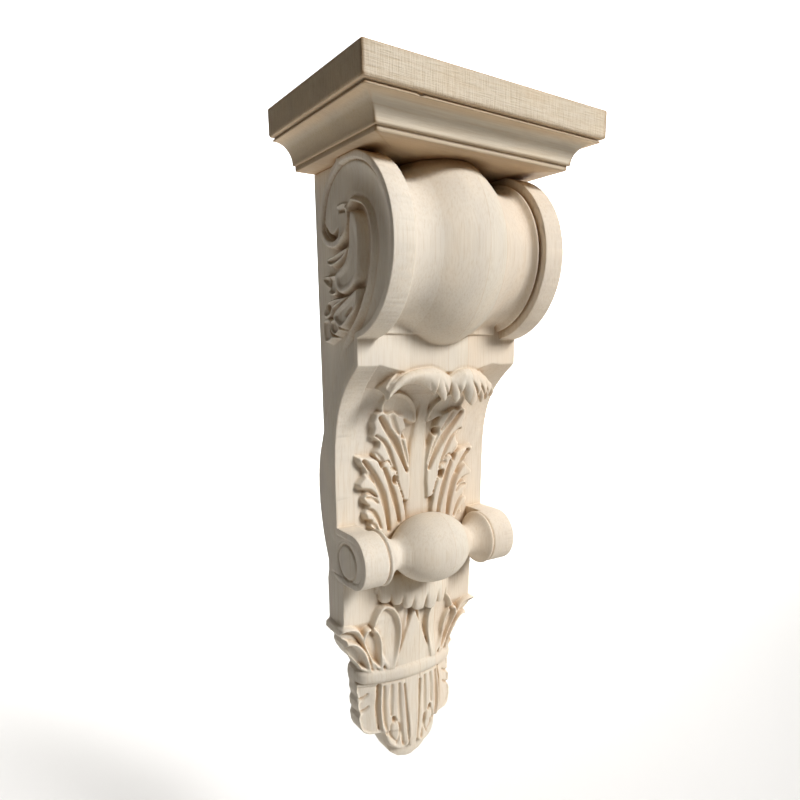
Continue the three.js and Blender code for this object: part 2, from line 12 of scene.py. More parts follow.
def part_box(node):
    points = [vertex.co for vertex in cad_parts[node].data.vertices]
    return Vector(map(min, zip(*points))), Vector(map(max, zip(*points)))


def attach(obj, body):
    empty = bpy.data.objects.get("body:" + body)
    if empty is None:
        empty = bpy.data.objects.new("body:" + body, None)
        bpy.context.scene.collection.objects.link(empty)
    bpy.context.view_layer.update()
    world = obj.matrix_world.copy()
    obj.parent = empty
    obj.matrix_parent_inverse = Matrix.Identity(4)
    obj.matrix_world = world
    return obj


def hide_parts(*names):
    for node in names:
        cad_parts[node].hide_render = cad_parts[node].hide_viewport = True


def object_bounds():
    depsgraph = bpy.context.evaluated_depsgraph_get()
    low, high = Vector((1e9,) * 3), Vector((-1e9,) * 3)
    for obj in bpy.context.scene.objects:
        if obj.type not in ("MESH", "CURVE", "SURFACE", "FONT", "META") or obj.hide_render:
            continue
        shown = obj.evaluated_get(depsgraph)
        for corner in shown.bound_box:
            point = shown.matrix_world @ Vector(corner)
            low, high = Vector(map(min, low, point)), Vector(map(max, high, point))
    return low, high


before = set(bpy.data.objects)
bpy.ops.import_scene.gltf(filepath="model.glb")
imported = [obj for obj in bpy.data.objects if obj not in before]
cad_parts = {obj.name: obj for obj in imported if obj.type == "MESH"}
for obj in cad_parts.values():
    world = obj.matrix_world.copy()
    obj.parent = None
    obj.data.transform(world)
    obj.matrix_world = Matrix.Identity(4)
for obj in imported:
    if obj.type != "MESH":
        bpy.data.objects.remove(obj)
cad_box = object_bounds()

# The cap: a block of pale hardwood, moulded along the front and both ends and glued on top.
# Its broad edge is left as the saw cut it, and the moulding under it is planed smooth.
MM = 0.001
MOUNT_DROP = 170
cap_low, cap_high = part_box("cap")
CAP_HALF = cap_high.x / MM
CAP_REACH = -cap_low.y / MM
CAP_HEIGHT = (cap_high.z - cap_low.z) / MM
SAWN_HEIGHT = 19.2
QUIRK_INSET = 4.1
QUIRK_HEIGHT = 1.5
UPPER_FILLET_INSET = 2.7
COVE_TOP = 21.6
COVE_RUN = 13.2
COVE_FALL = 14.4
LOWER_FILLET_INSET = 19.3
SECTION_INSET = 45
CAP_STATION = 2.0
NICK = (-58.5, 20.6)
NICK_HALF = 2.1
NICK_HEIGHT = 0.75
NICK_DEPTH = 1.5


def cap_profile():
    """The moulding as (inset, drop) pairs, from the middle of the top round to the underside"""
    edge = [(SECTION_INSET, 0), (2.0, 0), (0.6, 0.15), (0.1, 0.7), (0, 1.6)]
    edge += [(0, drop) for drop in np.linspace(3, SAWN_HEIGHT - 1.6, 12)]
    edge += [(0.25, SAWN_HEIGHT - 0.7), (0.9, SAWN_HEIGHT - 0.1), (1.7, SAWN_HEIGHT)]
    edge += [(QUIRK_INSET, SAWN_HEIGHT + 0.1), (QUIRK_INSET - 0.1, SAWN_HEIGHT + 0.7)]
    edge += [(UPPER_FILLET_INSET + 0.4, SAWN_HEIGHT + QUIRK_HEIGHT - 0.3)]
    edge += [(UPPER_FILLET_INSET, SAWN_HEIGHT + QUIRK_HEIGHT + 0.1)]
    edge += [(UPPER_FILLET_INSET, COVE_TOP - 0.4), (UPPER_FILLET_INSET + 0.3, COVE_TOP)]
    for turn in np.linspace(0, math.pi / 2, 15):
        inset = QUIRK_INSET + COVE_RUN * math.sin(turn)
        edge.append((inset, COVE_TOP + COVE_FALL * (1 - math.cos(turn))))
    foot = COVE_TOP + COVE_FALL
    edge += [(QUIRK_INSET + COVE_RUN + 1.8, foot), (QUIRK_INSET + COVE_RUN + 2.2, foot + 0.1)]
    edge += [(LOWER_FILLET_INSET, foot + 0.5), (LOWER_FILLET_INSET, CAP_HEIGHT - 0.5)]
    edge += [(LOWER_FILLET_INSET + 0.5, CAP_HEIGHT), (SECTION_INSET, CAP_HEIGHT)]
    return edge


def mesh_object(name, points, faces):
    """A smooth-shaded mesh from places in millimetres"""
    mesh = bpy.data.meshes.new(name)
    mesh.from_pydata([tuple(c * MM for c in p) for p in points], [], faces)
    mesh.polygons.foreach_set("use_smooth", [True] * len(mesh.polygons))
    piece = bpy.data.objects.new(name, mesh)
    bpy.context.scene.collection.objects.link(piece)
    return piece


def cap_path():
    """Stations round the cap from the back left corner, each as (side, share of the side)"""
    ends = int(CAP_REACH / CAP_STATION)
    front = int(2 * CAP_HALF / CAP_STATION)
    stations = [(0, i / ends) for i in range(ends + 1)]
    stations += [(1, i / front) for i in range(1, front + 1)]
    return stations + [(2, i / ends) for i in range(1, ends + 1)]


def cap_place(side, share, inset, drop):
    """Where a point of the moulding lies on the left end, the front or the right end"""
    half, reach = CAP_HALF - inset, CAP_REACH - inset
    spots = [(-half, -reach * share), (half * (2 * share - 1), -reach), (half, -reach * (1 - share))]
    x, y = spots[side]
    off_nick = abs(x - NICK[0])
    if side == 1 and off_nick < NICK_HALF and abs(drop - NICK[1]) < NICK_HEIGHT:
        y += NICK_DEPTH - 0.5 * off_nick
    return (x, y, MOUNT_DROP - drop)


def make_cap():
    """The moulding swept round three sides, with the back, top and underside closed"""
    profile = cap_profile()
    stations = cap_path()
    points = [cap_place(*station, *spot) for station in stations for spot in profile]
    size = len(profile)
    faces = []
    for i in range(len(stations) - 1):
        for j in range(size - 1):
            near, far = i * size + j, (i + 1) * size + j
            faces.append((near, far, far + 1, near + 1))
    last = (len(stations) - 1) * size
    tops = [i * size for i in range(len(stations))]
    undersides = [i * size + size - 1 for i in range(len(stations))]
    faces.append(tuple(reversed(tops)))
    faces.append(tuple(undersides))
    faces.append(tuple([*range(size), *range(last + size - 1, last - 1, -1)]))
    return mesh_object("moulded_cap", points, faces)


class Wood:
    """Pale close-grained wood, unfinished: its grain runs along one axis, with soft patches of tone and
    short dark pores, painted shade in its hollows and recesses, and edges painted paler, partly as wear
    and partly as painted highlight"""

    def __init__(self, name, tones, streak_tint, along):
        self.material = bpy.data.materials.new(name)
        self.material.use_nodes = True
        self.nodes = self.material.node_tree.nodes
        self.shader = self.nodes["Principled BSDF"]
        self.shader.inputs["Specular IOR Level"].default_value = 0.25
        self.places = self.nodes.new("ShaderNodeTexCoord").outputs["Object"]
        self.grain = self.noise([22.4 if axis == along else 800 for axis in "xyz"], 6.0, 0.65)
        self.fibre = self.noise([124 if axis == along else 2480 for axis in "xyz"], 3.0, 0.6)
        patches = self.noise([16 if axis == along else 34 for axis in "xyz"], 3.0, 0.55)
        self.colour = self.ramp(patches, [(0.3, tones[0]), (0.5, tones[1]), (0.7, tones[2])])
        self.tint(self.ramp(self.grain, [(0.3, streak_tint), (0.52, (1, 1, 1)),
                                         (0.75, (1.03, 1.03, 1.03))]))
        self.tint(self.ramp(self.fibre, [(0.28, (0.97, 0.95, 0.92)), (0.42, (1, 1, 1))]))
        # Painted shade and highlight: sunk hollows are darkened, and sharp edges made paler, partly as
        # wear and partly as painted highlight.
        painted_hollow_shade_and_edge_highlight = self.nodes.new("ShaderNodeNewGeometry").outputs["Pointiness"]
        self.tint(self.ramp(painted_hollow_shade_and_edge_highlight, [(0.42, (0.72, 0.60, 0.48)), (0.492, (1, 1, 1)),
                                      (0.515, (1, 1, 1)), (0.58, (1.16, 1.15, 1.14))]))
        # Painted shade: the colour turns darker and browner where nearby wood shuts the surface in, in
        # recesses and under overhangs.
        painted_recess_shade = self.nodes.new("ShaderNodeAmbientOcclusion")
        painted_recess_shade.samples = 6
        painted_recess_shade.inputs["Distance"].default_value = 9 * MM
        self.tint(self.ramp(painted_recess_shade.outputs["AO"], [(0.3, (0.76, 0.635, 0.50)), (0.85, (1, 1, 1))]))
        rough = self.nodes.new("ShaderNodeMapRange")
        rough.inputs["To Min"].default_value = 0.55
        rough.inputs["To Max"].default_value = 0.82
        self.link(self.grain, rough.inputs["Value"])
        self.link(rough.outputs["Result"], self.shader.inputs["Roughness"])
        self.relief = self.sum_of(self.grain, self.fibre, 0.5)

    def link(self, source, target):
        self.material.node_tree.links.new(source, target)

    def noise(self, scales, detail, roughness):
        """Soft noise, at so many patches a metre along x, y and z"""
        stretch = self.nodes.new("ShaderNodeMapping")
        stretch.inputs["Scale"].default_value = scales
        self.link(self.places, stretch.inputs["Vector"])
        texture = self.nodes.new("ShaderNodeTexNoise")
        texture.inputs["Scale"].default_value = 1.0
        texture.inputs["Detail"].default_value = detail
        texture.inputs["Roughness"].default_value = roughness
        self.link(stretch.outputs["Vector"], texture.inputs["Vector"])
        return texture.outputs["Fac"]

    def ramp(self, value, stops, steps=False):
        """Colours along a value"""
        colours = self.nodes.new("ShaderNodeValToRGB")
        if steps:
            colours.color_ramp.interpolation = "CONSTANT"
        for place, colour in stops[2:]:
            colours.color_ramp.elements.new(place)
        for element, (place, colour) in zip(colours.color_ramp.elements, sorted(stops)):
            element.position = place
            element.color = (*colour, 1)
        self.link(value, colours.inputs["Fac"])
        return colours.outputs["Color"]

    def tint(self, colour, share=1.0):
        """Multiplies the wood's colour"""
        blend = self.nodes.new("ShaderNodeMix")
        blend.data_type = "RGBA"
        blend.blend_type = "MULTIPLY"
        blend.inputs["Factor"].default_value = share
        self.link(self.colour, blend.inputs["A"])
        self.link(colour, blend.inputs["B"])
        self.colour = blend.outputs["Result"]

    def sum_of(self, first, second, amount):
        """One value and a share of another"""
        add = self.nodes.new("ShaderNodeMath")
        add.operation = "MULTIPLY_ADD"
        self.link(second, add.inputs[0])
        add.inputs[1].default_value = amount
        self.link(first, add.inputs[2])
        return add.outputs["Value"]

    def place(self, axis):
        """The place along one axis, in metres"""
        split = self.nodes.new("ShaderNodeSeparateXYZ")
        self.link(self.places, split.inputs["Vector"])
        return split.outputs[axis]

    def share(self, value, low, high):
        """A value as a share of the way from low to high"""
        span = self.nodes.new("ShaderNodeMapRange")
        span.inputs["From Min"].default_value = low
        span.inputs["From Max"].default_value = high
        self.link(value, span.inputs["Value"])
        return span.outputs["Result"]

    def finish(self, depth):
        """Joins the colour and the bump, of a depth in millimetres, to the shader"""
        bump = self.nodes.new("ShaderNodeBump")
        bump.inputs["Strength"].default_value = 1.0
        bump.inputs["Distance"].default_value = depth * MM
        self.link(self.relief, bump.inputs["Height"])
        self.link(bump.outputs["Normal"], self.shader.inputs["Normal"])
        self.link(self.colour, self.shader.inputs["Base Color"])
        return self.material


cap = make_cap()
CAP_TONES = [(0.72, 0.63, 0.50), (0.77, 0.68, 0.54), (0.80, 0.69, 0.53)]
CAP_STREAKS = (0.90, 0.85, 0.78)
UPRIGHT_MARKS = (1250, 1250, 90)
LEVEL_MARKS = (70, 70, 1300)
SAWN_TO_PLANED = 0.4
END_GRAIN = (0.68, 0.62, 0.54)
PAINTED_UNDERSIDE_SHADE = (0.93, 0.82, 0.70)
SAWN_BUMP = 0.18
cap_wood = Wood("sawn_and_planed_wood", CAP_TONES, CAP_STREAKS, "x")
sawn_foot = MOUNT_DROP - SAWN_HEIGHT
sawn = cap_wood.share(cap_wood.place("Z"), (sawn_foot - SAWN_TO_PLANED) * MM,
                      (sawn_foot + SAWN_TO_PLANED) * MM)
upright_marks = cap_wood.noise(UPRIGHT_MARKS, 2.0, 0.5)
level_marks = cap_wood.noise(LEVEL_MARKS, 2.0, 0.5)
facing = cap_wood.nodes.new("ShaderNodeSeparateXYZ")
cap_wood.link(cap_wood.nodes.new("ShaderNodeNewGeometry").outputs["Normal"], facing.inputs["Vector"])
endways = cap_wood.nodes.new("ShaderNodeMath")
endways.operation = "ABSOLUTE"
cap_wood.link(facing.outputs["X"], endways.inputs[0])
across_marks = cap_wood.nodes.new("ShaderNodeMix")
across_marks.inputs["B"].default_value = 0.5
cap_wood.link(endways.outputs["Value"], across_marks.inputs["Factor"])
cap_wood.link(level_marks, across_marks.inputs["A"])
weave = cap_wood.sum_of(upright_marks, across_marks.outputs["Result"], 1.0)
weave_stops = [(0.25, (0.91, 0.87, 0.81)), (0.6, (1.02, 1.01, 1.0))]
weave_tint = cap_wood.ramp(cap_wood.share(weave, 0.7, 1.3), weave_stops)
masked = cap_wood.nodes.new("ShaderNodeMix")
masked.data_type = "RGBA"
masked.inputs["A"].default_value = (1, 1, 1, 1)
cap_wood.link(sawn, masked.inputs["Factor"])
cap_wood.link(weave_tint, masked.inputs["B"])
cap_wood.tint(masked.outputs["Result"])
cap_wood.tint(cap_wood.ramp(endways.outputs["Value"], [(0.25, (1, 1, 1)), (0.75, END_GRAIN)]))
# Painted shade: faces that look down, most of all the moulding's underside, are tinted warmer and
# darker, as the shade under the cap.
painted_underside_share = cap_wood.share(facing.outputs["Z"], -1.0, -0.8)
cap_wood.tint(cap_wood.ramp(painted_underside_share, [(0.1, PAINTED_UNDERSIDE_SHADE), (0.9, (1, 1, 1))]))
sawn_weave = cap_wood.nodes.new("ShaderNodeMath")
sawn_weave.operation = "MULTIPLY"
cap_wood.link(sawn, sawn_weave.inputs[0])
cap_wood.link(weave, sawn_weave.inputs[1])
cap_wood.relief = cap_wood.sum_of(cap_wood.relief, sawn_weave.outputs["Value"], 3.0)
cap.data.materials.append(cap_wood.finish(SAWN_BUMP))
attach(cap, "root")
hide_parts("cap")

# The bracket: one glued-up block of the same wood with its grain running down, bandsawn to
# outline, then carved. It is worked here as the carver does, by joining the round forms to the
# block and cutting the rest away, and its skin is then taken as one mesh.
STEP = 0.65
GROUND_HALF = 66
BAND_HALF = 74.2
STRIP_INNER = 56.6
CAP_FOOT = CAP_HEIGHT + 0.3
WIDE = (-76, 76)
DEEP = (-2, 133)
TALL = (37, 556)
across = np.arange(WIDE[0], WIDE[1] + 0.01, STEP, dtype=np.float32)
reach = np.arange(*DEEP, STEP, dtype=np.float32)
drop = np.arange(*TALL, STEP, dtype=np.float32)
side_x = np.abs(across)
AIR = 5.0
block = np.full((len(across), len(reach), len(drop)), AIR, np.float32)
SIDE = (reach[:, None], drop[None, :])
FRONT = (across[:, None], drop[None, :])


def soft_step(value):
    """0 below 0, 1 above 1, and a smooth rise between them"""
    share = np.clip(value, 0, 1)
    return share * share * (3 - 2 * share)


def arc(centre, radii, start, end, count):
    """Points on an ellipse, with 0 degrees outward and 90 down"""
    turn = np.radians(np.linspace(start, end, count))
    return [(centre[0] + radii[0] * math.cos(a), centre[1] + radii[1] * math.sin(a)) for a in turn]


def curve(points, count):
    """A smooth line through the points, as evenly spread places"""
    p = np.array([points[0], *points, points[-1]], float)
    line = []
    for k in range(1, len(p) - 2):
        for t in np.arange(0, 1, 0.05):
            a, b, c, e = p[k - 1], p[k], p[k + 1], p[k + 2]
            line.append(0.5 * (2 * b + (c - a) * t + (2 * a - 5 * b + 4 * c - e) * t * t
                               + (3 * b - a - 3 * c + e) * t ** 3))
    line.append(p[-1])
    line = np.array(line)
    run = np.concatenate([[0], np.cumsum(np.hypot(*np.diff(line, axis=0).T))])
    even = np.linspace(0, run[-1], count)
    spots = np.stack([np.interp(even, run, line[:, i]) for i in (0, 1)], axis=1)
    return [tuple(spot) for spot in spots]


def outline_distance(points, plane):
    """How far each place in a plane is outside a closed outline, and below 0 inside it"""
    a, b = plane
    nearest = np.full(np.broadcast(a, b).shape, 1e9, np.float32)
    inside = np.zeros(nearest.shape, bool)
    for (a0, b0), (a1, b1) in zip(points, [*points[1:], points[0]]):
        run_a, run_b = a1 - a0, b1 - b0
        length = run_a * run_a + run_b * run_b
        if length < 1e-9:
            continue
        share = np.clip(((a - a0) * run_a + (b - b0) * run_b) / length, 0, 1)
        nearest = np.minimum(nearest, (a - a0 - share * run_a) ** 2 + (b - b0 - share * run_b) ** 2)
        if b0 != b1:
            inside ^= ((b0 > b) != (b1 > b)) & (a < run_a * (b - b0) / run_b + a0)
    return np.where(inside, -1, 1) * np.sqrt(nearest)


def along_line(points, plane):
    """For each place in a plane, its distance from a line and the share of the line passed"""
    a, b = plane
    nearest = np.full(np.broadcast(a, b).shape, 1e9, np.float32)
    passed = np.zeros(nearest.shape, np.float32)
    spans = len(points) - 1
    for k, ((a0, b0), (a1, b1)) in enumerate(zip(points, points[1:])):
        run_a, run_b = a1 - a0, b1 - b0
        share = np.clip(((a - a0) * run_a + (b - b0) * run_b) / (run_a ** 2 + run_b ** 2), 0, 1)
        away = (a - a0 - share * run_a) ** 2 + (b - b0 - share * run_b) ** 2
        closer = away < nearest
        nearest = np.where(closer, away, nearest)
        passed = np.where(closer, (k + share) / spans, passed)
    return np.sqrt(nearest), passed


def patch(plane, points, margin):
    """The part of a plane that holds the points with a margin round them: its cells and places"""
    a, b = plane
    low = [min(p[i] for p in points) - margin for i in (0, 1)]
    high = [max(p[i] for p in points) + margin for i in (0, 1)]
    rows = (a[:, 0] > low[0]) & (a[:, 0] < high[0])
    columns = (b[0] > low[1]) & (b[0] < high[1])
    return np.ix_(rows, columns), (a[rows], b[:, columns])


def gouge(relief, plane, spine, widths, depth):
    """One gouge cut into a relief along its spine, with its widths at the start, middle and end"""
    part, place = patch(plane, spine, max(widths) + 2)
    away, passed = along_line(curve(spine, 20), place)
    width = np.interp(passed, [0, 0.5, 1], widths)
    relief[part] -= depth * np.clip(1 - (away / np.maximum(width, 0.3)) ** 2, 0, 1)


def sanded(relief):
    """A relief with its sharpest steps eased over one cell, as by fine paper"""
    for axis in (0, 1):
        relief = 0.5 * relief + 0.25 * (np.roll(relief, 1, axis) + np.roll(relief, -1, axis))
    return relief


def room(x_span, reach_span, drop_span):
    """A part of the block between three pairs of planes: its cells and their places"""
    cells = []
    for axis, (low, high) in ((across, x_span), (reach, reach_span), (drop, drop_span)):
        cells.append(slice(int(np.searchsorted(axis, low)), int(np.searchsorted(axis, high))))
    cells = tuple(cells)
    x, r, d = across[cells[0]], reach[cells[1]], drop[cells[2]]
    return cells, x[:, None, None], r[None, :, None], d[None, None, :]


def join(cells, shape, fillet=0.0):
    """Adds a solid, given as distances that are below 0 inside it, to a part of the block"""
    if fillet:
        share = np.clip(0.5 + 0.5 * (block[cells] - shape) / fillet, 0, 1)
        block[cells] += (shape - block[cells]) * share - fillet * share * (1 - share)
    else:
        block[cells] = np.minimum(block[cells], shape)


def leaflet(relief, plane, outline, rise, hollow=0.0, lip=1.8, root=None, fade=14.0, wall=1.2):
    """One leaflet laid on a relief inside its outline: steep edges, a rounded lip and a hollow
    that runs out near its root"""
    part, place = patch(plane, outline, 2)
    within = -outline_distance(outline, place)
    height = rise * soft_step(within / wall + 0.5) + 0.45 * np.sqrt(np.clip(within / lip, 0, 1))
    depth = hollow * soft_step((within - 0.8 * lip) / (1.1 * lip))
    if root is not None:
        depth = depth * soft_step(np.hypot(place[0] - root[0], place[1] - root[1]) / fade)
    height = height - depth
    relief[part] = np.where(within > 0.2, height, np.maximum(relief[part], height))


# The bracket's sides: a scroll band stands proud of the ground, which is sunk with a flat gouge.
# The band turns over at the top into a curl, runs down as a wave and ends under the lower roll,
# and small leaves are carved on the ground. All of it is the wood of the block itself.
SCROLL = (67.5, 100.5)
SCROLL_RADIUS = 62
BACK_TURN = (67.5, 84)
BACK_TURN_RADIUS = 45.5
CURL = (46, 82)
CURL_RADII = (24, 16.5)
LEDGE_REACH = 77.5
LEDGE_DROP = 164
LEDGE_FOOT = 181
WAIST_REACH = 35.5
ROLL = (60.5, 333)
ROLL_RADIUS = 22.5
RIM_WIDTH = 4.8
RIM_STEP = 1.3
RIM_GROOVE = 1.7
TROUGH_DEPTH = 3.4
RIDGE_HEIGHT = 1.8
RIDGE_GROOVE = 1.2
RIDGE = [(74, 71.3), (87, 75), (95, 81), (99, 89.5), (101, 102), (97, 117.5), (91, 130), (79.5, 144),
         (66, 155.6), (54, 166)]
WAVE_BACK = [(54, 166), (44.4, 180), (38.2, 192), (29.7, 207), (20.8, 223.5), (13.5, 240), (6.9, 257),
             (4, 275), (4.1, 292), (6.3, 309), (12, 330.5), (20, 347), (33, 355.6), (51, 361)]
FOLD = [(52, 97), (61, 93), (66, 89), (69, 81), (69, 75), (74, 71.3)]


def panel_reach(d, foot=LEDGE_FOOT):
    """How far the hollow panel stands out from the wall, below the foot of the ledge"""
    below = np.maximum(d - foot, 0) / 25
    return WAIST_REACH + (LEDGE_REACH - WAIST_REACH) * np.exp(-below ** 1.15)


def round_line(away, middle, width):
    """How high a rounded line stands at a distance, if its middle is 1"""
    return np.exp(-((away - middle) / width) ** 2)


sunk_edge = [(-20, 20), (53, 20), (53, CAP_FOOT)]
sunk_edge += arc(BACK_TURN, (BACK_TURN_RADIUS,) * 2, -109, -180, 16)
sunk_edge += arc(CURL, CURL_RADII, 175, 90, 12)
sunk_edge += curve(FOLD, 16) + curve(RIDGE, 40) + curve(WAVE_BACK, 50)[1:]
sunk_edge += [(80, 372), (80, 600), (-20, 600)]
in_band = outline_distance(sunk_edge, SIDE)

front_edge = arc(SCROLL, (SCROLL_RADIUS,) * 2, -99, 80.7, 56)
front_edge += [(LEDGE_REACH, LEDGE_DROP)]
front_edge += [(float(panel_reach(d)), d) for d in np.linspace(LEDGE_FOOT, ROLL[1] - ROLL_RADIUS, 40)]
front_edge += arc(ROLL, (ROLL_RADIUS,) * 2, -90, 95, 30)
profile = outline_distance([(-30, 20), (57.8, 20), *front_edge, (-30, 357)], SIDE)

back_zone = (SIDE[0] < SCROLL[0]) & (SIDE[1] < BACK_TURN[1] + 14)
from_edge = np.where(back_zone, np.minimum(-profile, np.maximum(in_band, 0)), -profile)
past_rim = np.maximum(from_edge - RIM_WIDTH, 0)
trough_share = past_rim / np.maximum(past_rim + np.maximum(in_band, 0), 0.01)
fade = 1 - 0.75 * soft_step((SIDE[1] - 175) / 80)
ridge_place = fade * soft_step((SIDE[0] - 50) / 16)
dish = TROUGH_DEPTH * (0.3 + 0.7 * soft_step((SIDE[0] - 40) / 40))
hollow = dish * np.sin(math.pi * trough_share ** 0.8) ** 1.2
trough = (hollow + RIM_STEP * soft_step(past_rim / 0.9)) * fade
trough += RIM_GROOVE * round_line(past_rim, 0.9, 0.8) * fade
trough -= RIDGE_HEIGHT * round_line(in_band, 1.6, 1.3) * ridge_place
trough += RIDGE_GROOVE * round_line(in_band, 4.6, 1.1) * ridge_place
trough = np.maximum(trough, 0)
band_face = BAND_HALF - trough * (in_band > 0)
curl_cut = np.zeros(in_band.shape, np.float32)
CRESCENT = curve([(27.5, 78), (30, 85), (35.5, 90.5), (42, 93), (48.5, 91), (50, 84), (46, 85.5),
                  (42, 87.5), (37, 86.5), (32, 82), (27.5, 78)], 40)
curl_cut -= 5.0 * soft_step(-outline_distance(CRESCENT, SIDE) / 1.8)
CURL_GROOVE = [(52, 74), (59, 74.2), (63.5, 77), (64.5, 82), (62, 87), (57, 90.5)]
CURL_BEAD = [(50, 70.8), (58, 70.2), (64, 71.6), (68.4, 75.2)]
gouge(curl_cut, SIDE, CURL_GROOVE, (1.3, 1.7, 1.2), 1.8)
gouge(curl_cut, SIDE, CURL_BEAD, (1.0, 1.4, 1.4), -1.2)
band_face += curl_cut
side_face = GROUND_HALF + (band_face - GROUND_HALF) * soft_step(in_band / 1.2 + 0.3)

LEAF_A = curve([(72, 76), (80, 80), (84, 92), (83, 108), (80, 119), (72, 126.5), (63, 129.5),
                (55, 130.5), (48, 127.5), (45.6, 121), (47, 115.5), (54, 112.5), (63, 108), (69, 98),
                (70, 86), (72, 76)], 60)
LEAF_B = curve([(71, 91), (66, 98), (56.7, 99.8), (42.4, 102), (30, 103.5), (28, 105.5), (32, 109.2),
                (40, 110), (51, 107.8), (61.5, 103.5), (69, 96), (71, 91)], 44)
LEAF_C = curve([(48, 115.4), (37.7, 116), (21, 115.6), (22.5, 120), (29.5, 124.8), (31, 129),
                (38.4, 131), (44.5, 129), (45, 122), (48, 115.4)], 48)
LEAF_D = curve([(73, 126.5), (63.3, 131.2), (51, 132.2), (36.4, 133), (26.7, 135.3), (20.5, 143),
                (23, 146.5), (32.6, 145.2), (38, 140), (54, 135.8), (66, 131.5), (73, 126.5)], 44)
LEAF_E = curve([(80, 127), (72, 129.8), (60, 134.6), (46, 140), (40.6, 144), (40.2, 148), (46, 152.5),
                (52.2, 154.6), (58.5, 152.4), (67.5, 147), (76, 140.5), (80, 127)], 44)
LEAF_F = curve([(42, 146.8), (33.5, 148.6), (31.6, 153.7), (34.5, 158), (41, 159.6), (46, 157),
                (50, 155.8), (45, 151.5), (42, 146.8)], 40)
LEAF_G = curve([(33, 146.8), (19.8, 147.5), (18.5, 156.8), (20.4, 164), (26.3, 165), (35, 162),
                (40, 161), (33, 158.5), (30.5, 153), (33, 146.8)], 40)
leaf = np.zeros(in_band.shape, np.float32)
leaflet(leaf, SIDE, LEAF_G, 5.6, 2.0, 1.8)
leaflet(leaf, SIDE, LEAF_D, 6.0, 2.4, 1.8, (76, 124), 20)
leaflet(leaf, SIDE, LEAF_F, 6.4, 2.4, 1.6)
leaflet(leaf, SIDE, LEAF_B, 6.4, 2.8, 1.8, (72, 92), 14)
leaflet(leaf, SIDE, LEAF_C, 6.0, 2.6, 1.7)
leaflet(leaf, SIDE, LEAF_E, 7.4, 2.2, 2.4, (82, 127), 24)
leaflet(leaf, SIDE, LEAF_A, 7.8, 1.6, 3.4, (74, 78), 30)
gouge(leaf, SIDE, [(33.5, 116), (32, 120), (31, 126)], (0.9, 1.3, 0.9), 4.0)
gouge(leaf, SIDE, [(28.3, 137.5), (28.3, 140.5)], (1.7, 2.1, 1.5), 5.5)
gouge(leaf, SIDE, [(67, 140.4), (62.6, 142.5), (57, 145.5)], (0.8, 1.4, 0.8), 3.6)
gouge(leaf, SIDE, [(62, 97.5), (57, 96.5)], (1.4, 1.8, 1.2), 4.0)
side_face = np.maximum(side_face, GROUND_HALF + sanded(leaf) * soft_step(-in_band / 1.5 + 0.6))

ROLL_EYE = [(50, 335.5), (50.5, 336)]
from_eye = along_line(ROLL_EYE, SIDE)[0]
rings = 1.5 * round_line(from_eye, 14.6, 1.1) + 0.5 * round_line(from_eye, 17.3, 0.7)
side_face -= rings * (profile < -1)

CORE_REACH = 60
CORE_FOOT = 160
cells, x, r, d = room(WIDE, DEEP, (TALL[0], 372))
strips = np.maximum(STRIP_INNER - np.abs(x), profile[None, cells[1], cells[2]])
join(cells, strips)
core = np.maximum(r - CORE_REACH, np.abs(x) - BAND_HALF)
join(cells, np.maximum(core, d - CORE_FOOT))

# The belly: a great egg between the two strips, with a hollow neck, a bead and a quirk at each
# end. It is shaped round in the same block with gouge and rasp, then sanded, and is the smoothest
# part of the bracket.
BELLY = (54.5, 97)
BELLY_RADIUS = 73
NECK_RADIUS = 50.5
BELLY_PROFILE = [(0, 73), (5, 72.6), (10, 71.2), (15, 68.8), (20, 65.5), (24, 62.2), (28, 58.4),
                 (31, 55.7), (34, 53.5), (37, 52.0), (40, 51.0), (44, 50.4), (48.5, 50.6), (51, 51.6),
                 (52.4, 53.4), (53.2, 55.2), (54.0, 56.4), (54.8, 56.0), (55.3, 53.6), (56.4, 53.2),
                 (57.0, 55.4), (58, 56)]


def read_off(table, places):
    """The values of a table of (place, value) pairs, at other places"""
    return np.interp(places, [p[0] for p in table], [p[1] for p in table])


radius = read_off(BELLY_PROFILE, side_x)
swell = np.clip((radius - NECK_RADIUS) / (BELLY_RADIUS - NECK_RADIUS), 0, 1) * (side_x < 48)
turn_reach = SCROLL[0] + (BELLY[0] - SCROLL[0]) * swell
turn_drop = SCROLL[1] + (BELLY[1] - SCROLL[1]) * swell
cells, x, r, d = room((-58, 58), DEEP, (TALL[0], 175))
line = cells[0]
belly = np.hypot(r - turn_reach[line, None, None], d - turn_drop[line, None, None])
join(cells, belly - radius[line, None, None])

